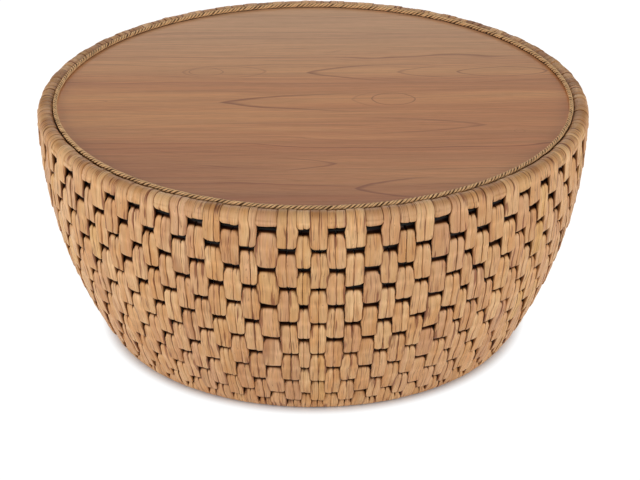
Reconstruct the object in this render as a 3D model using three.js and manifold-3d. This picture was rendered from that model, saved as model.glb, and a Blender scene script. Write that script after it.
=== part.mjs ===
// Woven drum table: a round bowl-sided coffee table. Flat plant-fibre strands are
// woven over iron hoops between a rim tube and a base ring, and a round wooden top
// sits inside the rim behind a twisted edge cord. Millimetres, +Z up. The origin is
// on the floor, under the middle of the top.
//
// The skilled feature is the woven wall: eight panels of thirteen strand columns,
// whose floats pass over one hoop and dive behind the next, in opposite step from
// column to column, and fold over the rim.

import * as THREE from "three";
import * as BufferGeometryUtils from "three/addons/utils/BufferGeometryUtils.js";
import Module from "manifold-3d";

const wasm = await Module();
wasm.setup();

// Overall form: the wall is one arc in section, upright at the rim.
const RIM_CROWN_LEVEL = 400;
const WALL_TOP_RADIUS = 457.5;
const WALL_FOOT_RADIUS = 347;
const WALL_FOOT_LEVEL = 3;
const CLEARANCE = 0.3;

// Rim: strands folded over a round tube.
const RIM_TUBE_RADIUS = 8;
const FOLD_THICKNESS = 5.7;
const RIM_TUBE_SIDES = 6;
const RIM_GROOVE_DEPTH = 1.5;
const RIM_FOLD_STATIONS = 4;

// Weave: columns round the drum and hoops down the arc.
const PANEL_COUNT = 8;
const COLUMNS_PER_PANEL = 13;
const FIRST_COLUMN_ROW = 1;
const FIRST_HOOP_DROP = 16.5;
const LAST_HOOP_STEP = 22.5;
const LAST_HOOP_RISE = 20;
const HOOP_COUNT = 12;
const HOOP_BAR = 5.4;
const WALL_THICKNESS = 7.5;
const GROOVE_DEPTH = 4.2;
const SLIT_HALF_HEIGHT = 3.6;
const STRAND_EDGE = 1;
const FOOT_EDGE_DEPTH = 1.5;
const FOOT_ROUND = 5;

// Frame inside the weave.
const RING_FACETS = 24;
const BASE_RING_SIZE = 8;
const BASE_RING_LEVEL = 5;
const RIB_WIDTH = 8;
const RIB_THICKNESS = 6;
const GLIDE_RADIUS = 6;
const GLIDE_SIDES = 8;

// Top: a veneered disc inside the rim, on three bars.
const TOP_THICKNESS = 18;
const TOP_FIT_GAP = 0.6;
const TOP_EDGE_ROUND = 1.2;
const TOP_FACETS = 48;
const CORD_RADIUS = 4.4;
const CORD_SIDES = 6;
const CORD_TURN_SHARE = 0.757;
const BAR_WIDTH = 22;
const BAR_DEPTH = 20;
const SCREW_RADIUS = 2;
const SCREW_HEAD_RADIUS = 4.5;
const SCREW_HEAD_HEIGHT = 3;
const SCREW_BITE = 12;
const SCREW_SIDES = 6;
const SCREW_PLACE_SHARES = [0.3, 0.8];
const CUT_OVERRUN = 2;

// Derived sizes of the arc and of the polygon rings that straddle true circles.
const RIM_FOLD_RADIUS = RIM_TUBE_RADIUS + CLEARANCE + FOLD_THICKNESS;
const WIDE_LEVEL = RIM_CROWN_LEVEL - RIM_FOLD_RADIUS;
const ARC_DROP = WALL_TOP_RADIUS - WALL_FOOT_RADIUS;
const ARC_RADIUS = (WIDE_LEVEL ** 2 + ARC_DROP ** 2) / (2 * ARC_DROP);
const ARC_CENTRE_RADIUS = WALL_TOP_RADIUS - ARC_RADIUS;
const RIM_CENTRE_RADIUS = WALL_TOP_RADIUS - RIM_FOLD_RADIUS;
const FOOT_DROP = ARC_RADIUS * Math.asin((WIDE_LEVEL - WALL_FOOT_LEVEL) / ARC_RADIUS);
const LAST_ROW = HOOP_COUNT - 1;
const LAST_HOOP_DROP = FOOT_DROP - LAST_HOOP_RISE;
const HOOP_PITCH = (LAST_HOOP_DROP - LAST_HOOP_STEP - FIRST_HOOP_DROP) / (LAST_ROW - 1);
const PANEL_ANGLE = (2 * Math.PI) / PANEL_COUNT;
const SEAM_ANGLE = CLEARANCE / 2 / WALL_FOOT_RADIUS;
const HALF_FACET = Math.PI / RING_FACETS;
const CORNER_SHARE = 2 / (1 + Math.cos(HALF_FACET));
const FLAT_SHARE = CORNER_SHARE * Math.cos(HALF_FACET);
const FACETS_PER_PANEL = RING_FACETS / PANEL_COUNT;
const HOOP_DEPTH = WALL_THICKNESS + CLEARANCE + HOOP_BAR / 2;
const RIB_OUTER_DEPTH = WALL_THICKNESS + CLEARANCE + HOOP_BAR + CLEARANCE;
const RIB_INNER_DEPTH = RIB_OUTER_DEPTH + RIB_THICKNESS;

// Materials: colour, roughness and metalness of each finish.
function finish(color, roughness, metalness) {
  return new THREE.MeshStandardMaterial({ color, roughness, metalness, flatShading: true });
}
const strandFinish = finish(0xb08a5c, 0.62, 0);
const cordFinish = finish(0xc0985f, 0.7, 0);
const ironFinish = finish(0x17130f, 0.5, 0.6);
const veneerFinish = finish(0x8a4a30, 0.38, 0);
const barFinish = finish(0x6b4a30, 0.7, 0);
const screwFinish = finish(0xb9b9b4, 0.35, 1);
const glideFinish = finish(0x1c1c1c, 0.5, 0);

const table = new THREE.Group();
table.name = "woven_drum_table";

function addPiece(name, geometry, material, angle = 0) {
  const piece = new THREE.Mesh(geometry, material);
  piece.name = name;
  piece.rotation.z = angle;
  table.add(piece);
  return piece;
}

// A point of the wall's section at a depth behind the woven face.
function arcPoint(depth, drop) {
  const angle = drop / ARC_RADIUS;
  const reach = ARC_RADIUS - depth;
  return {
    r: ARC_CENTRE_RADIUS + reach * Math.cos(angle),
    z: WIDE_LEVEL - reach * Math.sin(angle),
  };
}

function arcRadiusAt(depth, level) {
  return ARC_CENTRE_RADIUS + Math.sqrt((ARC_RADIUS - depth) ** 2 - (WIDE_LEVEL - level) ** 2);
}

// Hoops are evenly spaced down the arc, except the last, which is nearer.
function rowDrop(row) {
  return row === LAST_ROW ? LAST_HOOP_DROP : FIRST_HOOP_DROP + row * HOOP_PITCH;
}

// Inner layers are straight between every second hoop and turn again at the last,
// so a hoop between two corners of the layer lies on the chord.
function isLayerCorner(row) {
  return row % 2 === 0 || row === LAST_ROW;
}

function layerCorners(depth) {
  const corners = [];
  for (let row = 0; row < HOOP_COUNT; row += 1) {
    if (isLayerCorner(row)) {
      corners.push(arcPoint(depth, rowDrop(row)));
    }
  }
  return corners;
}

function layerPoint(depth, row) {
  if (isLayerCorner(row)) {
    return arcPoint(depth, rowDrop(row));
  }
  const above = arcPoint(depth, rowDrop(row - 1));
  const below = arcPoint(depth, rowDrop(row + 1));
  return { r: (above.r + below.r) / 2, z: (above.z + below.z) / 2 };
}

function rimPoint(radius, turn) {
  return {
    r: RIM_CENTRE_RADIUS + radius * Math.cos(turn),
    z: WIDE_LEVEL + radius * Math.sin(turn),
  };
}

// Gathers the triangles of one closed body.
class Body {
  constructor() {
    this.positions = [];
  }

  triangle(a, b, c) {
    this.positions.push(...a, ...b, ...c);
  }

  quad(a, b, c, d) {
    this.triangle(a, b, c);
    this.triangle(a, c, d);
  }

  // A strip between two edges that run the same way, left on the viewer's left.
  strip(left, right) {
    let i = 0;
    let j = 0;
    while (i < left.length - 1 || j < right.length - 1) {
      const leftNext = i < left.length - 1 ? left[i + 1].drop : Infinity;
      const rightNext = j < right.length - 1 ? right[j + 1].drop : Infinity;
      if (leftNext <= rightNext) {
        this.triangle(left[i].at, left[i + 1].at, right[j].at);
        i += 1;
      } else {
        this.triangle(left[i].at, right[j + 1].at, right[j].at);
        j += 1;
      }
    }
  }

  // A flat face with the given corners, seen from the side that flip says.
  face(outline, place, flip) {
    const flat = outline.map((corner) => new THREE.Vector2(corner.x, corner.y));
    for (const [a, b, c] of THREE.ShapeUtils.triangulateShape(flat, [])) {
      const corners = [a, b, c].map((index) => place(outline[index]));
      this.triangle(corners[0], corners[flip ? 2 : 1], corners[flip ? 1 : 2]);
    }
  }

  geometry() {
    const geometry = new THREE.BufferGeometry();
    geometry.setAttribute("position", new THREE.Float32BufferAttribute(this.positions, 3));
    geometry.computeVertexNormals();
    return geometry;
  }
}

function polar(r, angle, z) {
  return [r * Math.cos(angle), r * Math.sin(angle), z];
}

// The lines that bound a strand column, from the inner end of the rim fold down to
// the foot. drop orders the places: it is negative round the fold.
function foldStations() {
  const stations = [];
  for (let k = RIM_FOLD_STATIONS; k >= 0; k -= 1) {
    stations.push({ turn: (Math.PI * k) / RIM_FOLD_STATIONS, drop: -k * RIM_FOLD_RADIUS });
  }
  return stations;
}

function grooveLine(angle) {
  const line = foldStations().map(({ turn, drop }, index) => {
    const radius = index === 0 ? RIM_FOLD_RADIUS : RIM_FOLD_RADIUS - RIM_GROOVE_DEPTH;
    const { r, z } = rimPoint(radius, turn);
    return { drop, at: polar(r, angle, z) };
  });
  for (let row = 0; row < HOOP_COUNT; row += 1) {
    const { r, z } = arcPoint(GROOVE_DEPTH, rowDrop(row));
    line.push({ drop: rowDrop(row), at: polar(r, angle, z) });
  }
  const footRadius = arcRadiusAt(0, WALL_FOOT_LEVEL) - FOOT_EDGE_DEPTH;
  line.push({ drop: FOOT_DROP, at: polar(footRadius, angle, WALL_FOOT_LEVEL) });
  return line;
}

// One raised float of a strand column, between two groove places.
function addFloat(body, left, right, first, last, crest, leftAngle, rightAngle) {
  const edges = [leftAngle, rightAngle].map((angle, side) =>
    crest.map(({ r, z, drop }) => {
      const inset = (side === 0 ? STRAND_EDGE : -STRAND_EDGE) / r;
      return { drop, at: polar(r, angle + inset, z) };
    }),
  );
  const [crestLeft, crestRight] = edges;
  const bottom = crest.length - 1;
  body.strip(left.slice(first, last + 1), crestLeft);
  body.strip(crestLeft, crestRight);
  body.strip(crestRight, right.slice(first, last + 1));
  body.quad(left[first].at, crestLeft[0].at, crestRight[0].at, right[first].at);
  body.quad(crestLeft[bottom].at, left[last].at, right[last].at, crestRight[bottom].at);
}

function crestOnWall(drop) {
  return { ...arcPoint(0, drop), drop };
}

function addColumn(body, left, right, parity, leftAngle, rightAngle) {
  const fold = foldStations();
  const rowPlace = (row) => fold.length + row;
  const footPlace = rowPlace(HOOP_COUNT);
  const rimCrest = fold.slice(1).map(({ turn, drop }) => ({
    ...rimPoint(RIM_FOLD_RADIUS, turn),
    drop,
  }));
  rimCrest.push(crestOnWall(rowDrop(parity) - SLIT_HALF_HEIGHT));
  addFloat(body, left, right, 0, rowPlace(parity), rimCrest, leftAngle, rightAngle);
  for (let row = parity; row < HOOP_COUNT; row += 2) {
    const reachesFoot = row + 2 > LAST_ROW;
    const end = reachesFoot ? FOOT_DROP - FOOT_ROUND : rowDrop(row + 2) - SLIT_HALF_HEIGHT;
    const crest = [crestOnWall(rowDrop(row) + SLIT_HALF_HEIGHT), crestOnWall(end)];
    const last = reachesFoot ? footPlace : rowPlace(row + 2);
    addFloat(body, left, right, rowPlace(row), last, crest, leftAngle, rightAngle);
  }
}

// The inner side of the woven wall: round the rim tube, then down behind the hoops.
function innerSection() {
  const points = [];
  const gap = CLEARANCE / Math.cos(Math.PI / RIM_TUBE_SIDES);
  const halfSides = RIM_TUBE_SIDES / 2;
  for (let k = halfSides; k >= 0; k -= 1) {
    points.push(rimPoint(RIM_TUBE_RADIUS + gap, (Math.PI * k) / halfSides));
  }
  points.push(...layerCorners(WALL_THICKNESS));
  points.push({ r: arcRadiusAt(WALL_THICKNESS, WALL_FOOT_LEVEL), z: WALL_FOOT_LEVEL });
  return points;
}

function wovenPanel(parity) {
  const body = new Body();
  const start = -PANEL_ANGLE / 2 + SEAM_ANGLE;
  const end = PANEL_ANGLE / 2 - SEAM_ANGLE;
  const columnAngle = (end - start) / COLUMNS_PER_PANEL;
  const angles = [];
  for (let j = 0; j <= COLUMNS_PER_PANEL; j += 1) {
    angles.push(start + j * columnAngle);
  }
  const lines = angles.map(grooveLine);
  for (let j = 0; j < COLUMNS_PER_PANEL; j += 1) {
    addColumn(body, lines[j], lines[j + 1], (j + parity) % 2, angles[j], angles[j + 1]);
  }

  const inner = innerSection();
  const innerAngles = [start];
  for (let k = 1; k < FACETS_PER_PANEL; k += 1) {
    innerAngles.push(-PANEL_ANGLE / 2 + (k * PANEL_ANGLE) / FACETS_PER_PANEL);
  }
  innerAngles.push(end);
  const innerAt = (angle, { r, z }) => polar(r * CORNER_SHARE, angle, z);
  for (let k = 0; k < innerAngles.length - 1; k += 1) {
    for (let i = 0; i < inner.length - 1; i += 1) {
      body.quad(
        innerAt(innerAngles[k + 1], inner[i]),
        innerAt(innerAngles[k + 1], inner[i + 1]),
        innerAt(innerAngles[k], inner[i + 1]),
        innerAt(innerAngles[k], inner[i]),
      );
    }
  }

  // The two seam faces, in planes through the axis.
  for (const [line, angle, flip] of [
    [lines[0], start, false],
    [lines[COLUMNS_PER_PANEL], end, true],
  ]) {
    const across = ([x, y]) => x * Math.cos(angle) + y * Math.sin(angle);
    const outline = line.map(({ at }) => ({ x: across(at), y: at[2], at }));
    for (const point of [...inner].reverse()) {
      outline.push({ x: point.r * CORNER_SHARE, y: point.z, at: innerAt(angle, point) });
    }
    body.face(outline, (corner) => corner.at, flip);
  }

  // The level faces at the inner end of the fold and at the foot.
  for (const [place, innerPlace, flip] of [
    [0, 0, true],
    [lines[0].length - 1, inner.length - 1, true],
  ]) {
    const outline = lines.map((line) => {
      const { at } = line[place];
      return { x: at[0], y: at[1], at };
    });
    for (const angle of [...innerAngles].reverse()) {
      const at = innerAt(angle, inner[innerPlace]);
      outline.push({ x: at[0], y: at[1], at });
    }
    body.face(outline, (corner) => corner.at, flip);
  }
  return body.geometry();
}

// A ring of straight facets whose flats face the ribs.
function polygonRing(section, facets = RING_FACETS, share = CORNER_SHARE) {
  const profile = section.map(({ r, z }) => new THREE.Vector2(r * share, z));
  profile.push(profile[0].clone());
  const ring = new THREE.LatheGeometry(profile, facets, Math.PI / facets, 2 * Math.PI);
  ring.rotateX(Math.PI / 2);
  return ring;
}

function barSection(centre, size, tilt) {
  const corners = [];
  const reach = size / Math.SQRT2;
  for (let k = 0; k < 4; k += 1) {
    const turn = Math.PI / 4 + (k * Math.PI) / 2 - tilt;
    corners.push({ r: centre.r + reach * Math.cos(turn), z: centre.z + reach * Math.sin(turn) });
  }
  return corners;
}

// Rods, tube and ring of the frame.
function rimTube() {
  const section = [];
  for (let k = 0; k < RIM_TUBE_SIDES; k += 1) {
    section.push(rimPoint(RIM_TUBE_RADIUS, (2 * Math.PI * k) / RIM_TUBE_SIDES));
  }
  return polygonRing(section);
}

function hoop(row) {
  return polygonRing(barSection(layerPoint(HOOP_DEPTH, row), HOOP_BAR, rowDrop(row) / ARC_RADIUS));
}

const baseRingOuter = arcRadiusAt(WALL_THICKNESS, BASE_RING_LEVEL) - CLEARANCE;
const baseRingTop = BASE_RING_LEVEL + BASE_RING_SIZE;
function baseRing() {
  const inner = baseRingOuter - BASE_RING_SIZE;
  return polygonRing([
    { r: baseRingOuter, z: BASE_RING_LEVEL },
    { r: baseRingOuter, z: baseRingTop },
    { r: inner, z: baseRingTop },
    { r: inner, z: BASE_RING_LEVEL },
  ]);
}

const ribTopLevel =
  WIDE_LEVEL - RIM_TUBE_RADIUS * Math.cos(Math.PI / RIM_TUBE_SIDES) - CLEARANCE;
const ribFootLevel = baseRingTop + CLEARANCE;
function ribEdge(depth) {
  const points = [{ r: arcRadiusAt(depth, ribTopLevel), z: ribTopLevel }];
  points.push(...layerCorners(depth));
  points.push({ r: arcRadiusAt(depth, ribFootLevel), z: ribFootLevel });
  return points;
}

function radiusOnEdge(edge, level) {
  const below = edge.findIndex((point) => point.z <= level);
  const [high, low] = [edge[below - 1], edge[below]];
  const share = (high.z - level) / (high.z - low.z);
  return high.r + share * (low.r - high.r);
}

function rib() {
  const outline = [...ribEdge(RIB_OUTER_DEPTH), ...ribEdge(RIB_INNER_DEPTH).reverse()];
  const shape = new THREE.Shape(outline.map(({ r, z }) => new THREE.Vector2(r * FLAT_SHARE, z)));
  const bar = new THREE.ExtrudeGeometry(shape, { depth: RIB_WIDTH, bevelEnabled: false });
  bar.translate(0, 0, -RIB_WIDTH / 2);
  bar.rotateX(Math.PI / 2);
  return bar;
}

const glideCentreRadius =
  (arcRadiusAt(WALL_THICKNESS, WALL_FOOT_LEVEL) - CLEARANCE) * FLAT_SHARE - GLIDE_RADIUS;
const glideHeight = BASE_RING_LEVEL - CLEARANCE;
function glide() {
  const pad = new THREE.CylinderGeometry(GLIDE_RADIUS, GLIDE_RADIUS, glideHeight, GLIDE_SIDES);
  pad.rotateX(Math.PI / 2);
  pad.translate(glideCentreRadius, 0, glideHeight / 2);
  return pad;
}

// The top, its bars and its screws.
const topRadius = RIM_CENTRE_RADIUS - RIM_FOLD_RADIUS - TOP_FIT_GAP;
const cordCentre = rimPoint(
  RIM_FOLD_RADIUS + CORD_RADIUS + CLEARANCE,
  Math.PI * CORD_TURN_SHARE,
);
const topLevel = cordCentre.z - CORD_RADIUS - CLEARANCE;
const topUnderside = topLevel - TOP_THICKNESS;
const barTop = topUnderside - CLEARANCE;
const barUnderside = barTop - BAR_DEPTH;
const barReach = radiusOnEdge(ribEdge(RIB_INNER_DEPTH), barUnderside) * FLAT_SHARE - CLEARANCE;
const screwHole = SCREW_RADIUS + CLEARANCE;

function solidOf(geometry) {
  const bare = geometry.clone();
  bare.deleteAttribute("normal");
  bare.deleteAttribute("uv");
  const merged = BufferGeometryUtils.mergeVertices(bare);
  return new wasm.Manifold(
    new wasm.Mesh({
      numProp: 3,
      vertProperties: new Float32Array(merged.attributes.position.array),
      triVerts: new Uint32Array(merged.index.array),
    }),
  );
}

function geometryOf(solid) {
  const mesh = solid.getMesh();
  const geometry = new THREE.BufferGeometry();
  geometry.setAttribute("position", new THREE.BufferAttribute(mesh.vertProperties, 3));
  geometry.setIndex(new THREE.BufferAttribute(mesh.triVerts, 1));
  const flat = geometry.toNonIndexed();
  flat.computeVertexNormals();
  return flat;
}

function upright(radius, height, sides, x, y, middle) {
  const post = new THREE.CylinderGeometry(radius, radius, height, sides);
  post.rotateX(Math.PI / 2);
  post.translate(x, y, middle);
  return post;
}

function cutHoles(geometry, places, bottom, top) {
  let solid = solidOf(geometry);
  for (const [x, y] of places) {
    const drill = upright(screwHole, top - bottom, SCREW_SIDES, x, y, (top + bottom) / 2);
    solid = solid.subtract(solidOf(drill));
  }
  return geometryOf(solid);
}

const shortBarStart = BAR_WIDTH / 2 + CLEARANCE;
const screwPlaces = { top_bar_long: [], top_bar_back: [], top_bar_front: [] };
for (const share of SCREW_PLACE_SHARES) {
  screwPlaces.top_bar_long.push([share * barReach, 0], [-share * barReach, 0]);
}
const outerShare = SCREW_PLACE_SHARES[SCREW_PLACE_SHARES.length - 1];
screwPlaces.top_bar_back.push([0, outerShare * barReach]);
screwPlaces.top_bar_front.push([0, -outerShare * barReach]);

function topBar(name) {
  const long = name === "top_bar_long";
  const length = long ? 2 * barReach : barReach - shortBarStart;
  const bar = new THREE.BoxGeometry(long ? length : BAR_WIDTH, long ? BAR_WIDTH : length, BAR_DEPTH);
  const side = { top_bar_long: 0, top_bar_back: 1, top_bar_front: -1 }[name];
  bar.translate(0, side * (shortBarStart + length / 2), barTop - BAR_DEPTH / 2);
  return cutHoles(bar, screwPlaces[name], barUnderside - CUT_OVERRUN, barTop + CUT_OVERRUN);
}

function topPanel() {
  const profile = [
    new THREE.Vector2(0, topUnderside),
    new THREE.Vector2(topRadius, topUnderside),
    new THREE.Vector2(topRadius, topLevel - TOP_EDGE_ROUND),
    new THREE.Vector2(topRadius - TOP_EDGE_ROUND, topLevel),
    new THREE.Vector2(0, topLevel),
  ];
  const disc = new THREE.LatheGeometry(profile, TOP_FACETS, Math.PI / TOP_FACETS);
  disc.rotateX(Math.PI / 2);
  const places = Object.values(screwPlaces).flat();
  const holeTop = topUnderside + SCREW_BITE + CLEARANCE;
  return cutHoles(disc, places, topUnderside - CUT_OVERRUN, holeTop);
}

function edgeCord() {
  const section = [];
  for (let k = 0; k < CORD_SIDES; k += 1) {
    const turn = -Math.PI / 2 + (2 * Math.PI * k) / CORD_SIDES;
    section.push({
      r: cordCentre.r + CORD_RADIUS * Math.cos(turn),
      z: cordCentre.z + CORD_RADIUS * Math.sin(turn),
    });
  }
  return polygonRing(section, TOP_FACETS, 1);
}

function screw(x, y) {
  const headBottom = barUnderside - CLEARANCE - SCREW_HEAD_HEIGHT;
  const headTop = barUnderside - CLEARANCE;
  const tip = topUnderside + SCREW_BITE;
  const profile = [
    new THREE.Vector2(0, headBottom),
    new THREE.Vector2(SCREW_HEAD_RADIUS, headBottom),
    new THREE.Vector2(SCREW_HEAD_RADIUS, headTop),
    new THREE.Vector2(SCREW_RADIUS, headTop),
    new THREE.Vector2(SCREW_RADIUS, tip),
    new THREE.Vector2(0, tip),
  ];
  const body = new THREE.LatheGeometry(profile, SCREW_SIDES);
  body.rotateX(Math.PI / 2);
  body.translate(x, y, 0);
  return body;
}

function numbered(name, index) {
  return `${name}_${String(index + 1).padStart(2, "0")}`;
}

// The assembly.
const panelShapes = [wovenPanel(0), wovenPanel(1)];
const ribShape = rib();
const glideShape = glide();
for (let k = 0; k < PANEL_COUNT; k += 1) {
  const angle = k * PANEL_ANGLE;
  const parity = (FIRST_COLUMN_ROW + k * COLUMNS_PER_PANEL) % 2;
  addPiece(numbered("woven_panel", k), panelShapes[parity], strandFinish, angle);
  addPiece(numbered("rib", k), ribShape, ironFinish, angle);
  addPiece(numbered("glide", k), glideShape, glideFinish, angle);
}
for (let row = 0; row < HOOP_COUNT; row += 1) {
  addPiece(numbered("hoop", row), hoop(row), ironFinish);
}
addPiece("rim_tube", rimTube(), ironFinish);
addPiece("base_ring", baseRing(), ironFinish);
addPiece("top_panel", topPanel(), veneerFinish);
addPiece("edge_cord", edgeCord(), cordFinish);
for (const name of Object.keys(screwPlaces)) {
  addPiece(name, topBar(name), barFinish);
}
Object.values(screwPlaces)
  .flat()
  .forEach(([x, y], index) => addPiece(numbered("top_screw", index), screw(x, y), screwFinish));

export default table;
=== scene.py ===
# Woven drum table, dressed: a round bowl-sided wall of flat plant-fibre strands over
# iron hoops, a veneered top, a twisted edge cord, and the frame inside. Metres, +Z up,
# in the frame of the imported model. The floor is at level 0.

import math

import bmesh
import bpy
import numpy as np
from bpy.props import FloatProperty, FloatVectorProperty, IntProperty, PointerProperty
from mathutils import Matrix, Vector


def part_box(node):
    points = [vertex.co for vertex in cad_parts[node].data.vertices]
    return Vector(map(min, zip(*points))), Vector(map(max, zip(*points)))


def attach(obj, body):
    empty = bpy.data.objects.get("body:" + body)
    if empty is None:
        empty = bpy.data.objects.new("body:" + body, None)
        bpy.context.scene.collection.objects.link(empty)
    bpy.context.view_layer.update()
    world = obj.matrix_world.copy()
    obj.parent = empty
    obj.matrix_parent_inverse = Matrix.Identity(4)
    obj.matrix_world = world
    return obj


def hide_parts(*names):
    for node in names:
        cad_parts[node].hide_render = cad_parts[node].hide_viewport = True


bl_info = {
    "name": "Woven drum table",
    "version": (1, 0, 0),
    "blender": (4, 5, 0),
    "location": "3D View > Sidebar > Drum table",
    "description": "Builds the pieces of a woven drum table around its packed frame",
    "category": "Object",
}

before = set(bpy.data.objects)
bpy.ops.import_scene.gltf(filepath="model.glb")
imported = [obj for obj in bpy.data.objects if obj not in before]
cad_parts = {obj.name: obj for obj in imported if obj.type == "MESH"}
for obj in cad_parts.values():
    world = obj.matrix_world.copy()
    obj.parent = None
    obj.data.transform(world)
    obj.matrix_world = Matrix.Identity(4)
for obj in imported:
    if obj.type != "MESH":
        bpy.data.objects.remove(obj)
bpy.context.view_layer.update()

MM = 0.001
BODY = "root"
PANELS = 8
COLUMNS_PER_PANEL = 13
COLUMNS = PANELS * COLUMNS_PER_PANEL
RIB_COLUMN = COLUMNS_PER_PANEL // 2
PANEL_ANGLE = 2 * math.pi / PANELS
PITCH_ANGLE = 2 * math.pi / COLUMNS

# Section of a strand: place across it, from edge to edge, and share of its thickness.
STRAND_SECTION = [
    (-1.0, 0.0), (-0.93, 0.32), (-0.76, 0.45), (-0.40, 0.49), (0.0, 0.50), (0.40, 0.49),
    (0.76, 0.45), (0.93, 0.32), (1.0, 0.0), (0.86, -0.42), (0.0, -0.50), (-0.86, -0.42),
]
ACROSS_SHARES, RISE_SHARES = np.array(STRAND_SECTION).T

# How a strand goes behind a hoop, in mm: distance from the slit's middle along the wall,
# and depth of the strand's middle behind the wall's face. The float above the slit ends
# sharply and proud. The float below it starts with a longer slope.
DIVE_ABOVE = [
    (13.5, 0.9), (10.0, 0.5), (7.6, 0.7), (6.1, 1.7), (5.4, 3.7), (5.15, 6.6), (5.05, 9.6),
    (4.5, 12.3), (3.3, 14.2), (1.6, 15.2), (0.0, 15.4),
]
DIVE_BELOW = [
    (1.8, 15.2), (3.5, 14.6), (4.8, 13.3), (5.5, 11.4), (5.8, 9.2), (6.1, 7.0), (6.7, 5.4),
    (8.2, 4.5), (11.2, 3.8), (15.5, 3.0), (22.5, 1.9),
]
SLIT_ROW_SHARES = [1.12, 1.03, 0.99, 0.96, 0.95, 0.94, 0.93, 0.92, 0.91]
FLOAT_DEPTH = 1.5 * MM
FLOAT_STEP = 7 * MM
HIGHEST_DIVE = 0.4 * MM
LOWEST_DIVE_ABOVE_FOOT = 10 * MM

# Lowest and highest stretch of a dive, shift of its slit and lag of the float below, the
# last two in mm. Beside a rib the stretch and the lag are steady, and so is the last lag.
DIVE_STRETCH = (0.95, 1.25)
DIVE_STRETCH_BY_RIB = 0.9
SLIT_SHIFT = (-0.8, 0.8)
FLOAT_LAG = (-0.8, 3.2)
FLOAT_LAG_BY_RIB = -1.0
FLOAT_LAG_AT_LAST_HOOP = -1.2

# Where a strand lies over the last hoop, its last float ends this far above the foot.
LAST_FLOAT_ABOVE_FOOT = 14 * MM
LAST_FLOAT_DEPTH = 1.6 * MM

# The strand's last stretch, in mm: radius and level of its middle, round the base ring.
FOOT_CURL = [
    (350.3, 9.8), (347.7, 5.9), (344.3, 3.75), (340.5, 3.2), (336.5, 3.2), (332.8, 3.9),
    (330.4, 6.6), (329.6, 11.0), (329.4, 16.0),
]
FOOT_CURL_AT_GLIDE = 4

# Each fold lies this much higher or lower than its neighbours.
FOLD_LIFT = 0.4 * MM
FOLD_STATIONS = 15

# A strand that dives behind the first hoop is this much wider on the fold.
FOLD_WIDER = 0.9 * MM

# Columns that are narrower than the others, and how wide they start out.
NARROW_COLUMNS = {83: 0.66, 93: 0.72, 17: 0.75, 55: 0.7}

# Shares of the pitch by which a strand reaches past its column behind the hoops.
WIDER_BEHIND = 0.46
WIDER_BY_RIB = 0.24
RIB_CLEARANCE = 5 * MM
SMALLEST_HALF_WIDTH = 1.2 * MM

# Where a float draws in its outer edges, in mm: how much, how far past the slit's middle,
# and over what length.
SHOULDERS = [(1.9, 6.5, 3.0), (1.4, -5.4, 1.6)]
CORNER_ABOVE = 2.2 * MM
CORNER_BELOW = 4.0 * MM

# A float is thicker where it lies on a hoop.
PAD_THICKNESS = 3.9 * MM
PAD_REACH = 13 * MM

# Lowest and highest of what varies from float to float or strand to strand: lengths in
# mm, slopes, and shares.
FLOAT_SWELL = (-0.7, 0.5)
FLOAT_SHIFT = (-0.3, 0.3)
FLOAT_ROLL = (-0.09, 0.09)
FLOAT_SLANT = (-0.09, 0.09)
FLOAT_WIDTH = (-0.03, 0.04)
CORNER_WEAR = (0.0, 1.5)
STRAND_GAP = (-0.9, 0.3)
STRAND_RISE = (-0.25, 0.25)
STRAND_RIDGES = (-0.22, 0.22)

# A strand's number for the shader: a step of 1 for each strand that a column can hold,
# and parts of a step for its floats.
STRANDS_PER_COLUMN = 3
FLOATS_PER_STRAND = 20

IRON_SEED = 21
RING_STEPS = 192
ROD_SIDES = 12
RIM_TUBE_RADIUS = 8 * MM
RIB_STATIONS = 60
RIB_CORNER = 1.1 * MM
BASE_RING_CORNER = 0.9 * MM

# Weld beads on the ribs: half their size out, across and up, in mm.
BEAD_REACH = (1.4, 3.4, 3.2)
BEAD_RINGS = 7
BEAD_SIDES = 10

# The solids of the base ring and the cord have flats. The round pieces reach past them.
BASE_RING_OUT = 0.2 * MM
CORD_OUT = 0.3 * MM
CORD_STEPS_PER_TURN = 14
CORD_SEED = 7
PLY_SIDES = 10
BAR_EDGE = 1.4 * MM

# Profile of a screw's head: share of its radius, and share of its height.
SCREW_HEAD = [
    (0.04, 0.0), (0.3, 0.02), (0.62, 0.08), (0.85, 0.22), (0.97, 0.5), (1, 0.75), (0.96, 1),
]
SCREW_HEAD_HEIGHT = 3.0 * MM
SCREW_RECESS = 1.6 * MM
SCREW_SHANK_RADIUS = 2.0 * MM
SCREW_PITCH = 1.6 * MM
SCREW_POINT = 3 * MM
SCREW_SIDES = 32

# Lower face of a glide, from the nail recess to its outside, in mm: radius and level.
GLIDE_FACE = [
    (0.3, 1.4), (1.6, 1.4), (1.9, 0.3), (2.3, 0.0), (4.4, 0.0), (5.3, 0.25), (5.85, 0.9),
    (6.0, 1.7),
]
GLIDE_EDGE = 0.5
GLIDE_SIDES = 40

# Growth lines that close or turn back on the top, in mm: middle along and across the
# grain, reach along and across it, strength, and which end shows (0 for both).
GROWTH_LOOPS = [
    (326, 114, 78, 22, 0.75, 0), (268, 116, 122, 31, 0.5, -1), (134, -2, 37, 25, 0.7, 0),
    (134, -3, 70, 36, 0.28, -1), (192, 114, 200, 40, 0.75, -1), (166, -14, 320, 42, 0.85, -1),
    (-181, 124, 30, 17, 0.6, 0), (-150, 122, 72, 27, 0.35, 0), (-20, -112, 300, 38, 0.5, 1),
    (332, -138, 9, 7, 0.8, 0), (-130, -262, 162, 30, 0.6, 1), (230, -352, 172, 46, 0.8, -1),
    (-402, -2, 60, 8, 0.5, 1),
]

PHOTO_WIDTH_PX = 640
CAMERA_SHIFT_PX = (6.8, -39.2)
FLOOR_REACH = 9.0
FLOOR_CORNERS = [(-1, -1), (1, -1), (1, 1), (-1, 1)]

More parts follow.
